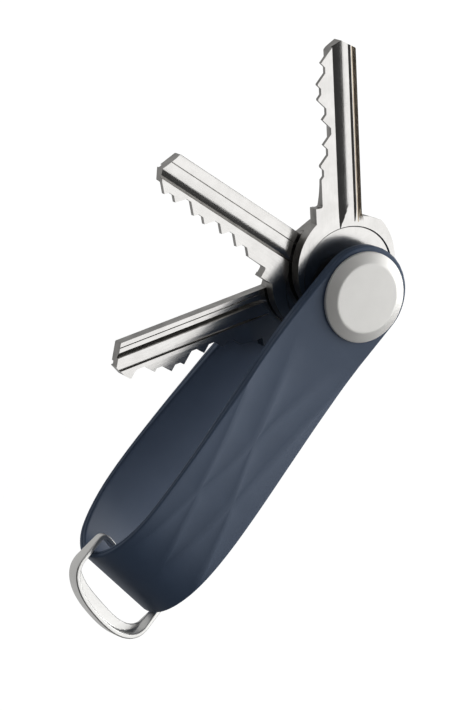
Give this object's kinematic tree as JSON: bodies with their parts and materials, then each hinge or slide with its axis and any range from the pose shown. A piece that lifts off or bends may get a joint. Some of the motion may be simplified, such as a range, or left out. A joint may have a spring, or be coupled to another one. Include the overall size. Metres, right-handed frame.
{
  "type": "key organiser",
  "caption": "Pocket key organiser: an elastomer band folded into a loop, clamped by a screw post that keys swing out from, with a D-ring in the closed end.",
  "frame": {"origin": "middle of the front cap's flat face, on the screw post's axis", "axes": "+Z out of the front cap along the screw post, +X along the band from the post to the D-ring, +Y across the band, away from the side the keys stand out of"},
  "size_m": [0.1144, 0.0586, 0.0225],
  "materials": {
    "band": "matt moulded elastomer with long shallow facets on the outer face",
    "cap_metal": "satin, bead-blasted, warm light grey",
    "ring_metal": "satin, softly rounded edges",
    "key_metal": "bright nickel plate over brass, brushed along the blade",
    "dark_polymer": "smooth moulded",
    "spring_steel": "plain"
  },
  "bodies": {
    "band": {"band": "band", "front_cap": "cap_metal", "front_eyelet": "spring_steel", "rear_eyelet": "spring_steel", "post_sleeve": "dark_polymer", "front_washer": "dark_polymer", "wave_washer": "spring_steel", "front_spacer": "dark_polymer", "key_washer_1": "dark_polymer", "key_washer_2": "dark_polymer", "rear_washer": "dark_polymer"},
    "key_1": {"key_1": "key_metal"},
    "key_2": {"key_2": "key_metal"},
    "key_3": {"key_3": "key_metal"},
    "d_ring": {"d_ring": "ring_metal"},
    "lock_ring": {"lock_ring": "dark_polymer"},
    "rear_screw": {"rear_screw": "cap_metal"}
  },
  "joints": [
    {"name": "key_1_swing", "type": "hinge", "parent": "band", "child": "key_1", "pos_m": [0, 0, -0.00775], "axis": [0, 0, 1], "range_deg": [-229.5, 130.5]},
    {"name": "key_2_swing", "type": "hinge", "parent": "band", "child": "key_2", "pos_m": [0, 0, -0.0106], "axis": [0, 0, 1], "range_deg": [-281.4, 78.6]},
    {"name": "key_3_swing", "type": "hinge", "parent": "band", "child": "key_3", "pos_m": [0, 0, -0.01345], "axis": [0, 0, 1], "range_deg": [-328.1, 31.9]},
    {"name": "d_ring_swing", "type": "hinge", "parent": "band", "child": "d_ring", "pos_m": [0.06857, 0.00024, -0.00495], "axis": [0.1045, 0.9945, 0], "range_deg": [-80, 50]},
    {"name": "lock_ring_travel", "type": "slide", "parent": "band", "child": "lock_ring", "axis": [0, 0, -1], "range_m": [0, 0.008]},
    {"name": "rear_screw_turn", "type": "hinge", "parent": "lock_ring", "child": "rear_screw", "pos_m": [0, 0, -0.019], "axis": [0, 0, -1], "range_deg": [0, 2881]}
  ],
  "couplings": [
    {"joint": "rear_screw_turn", "follows": "lock_ring_travel", "rad_per_m": 6283.2}
  ]
}
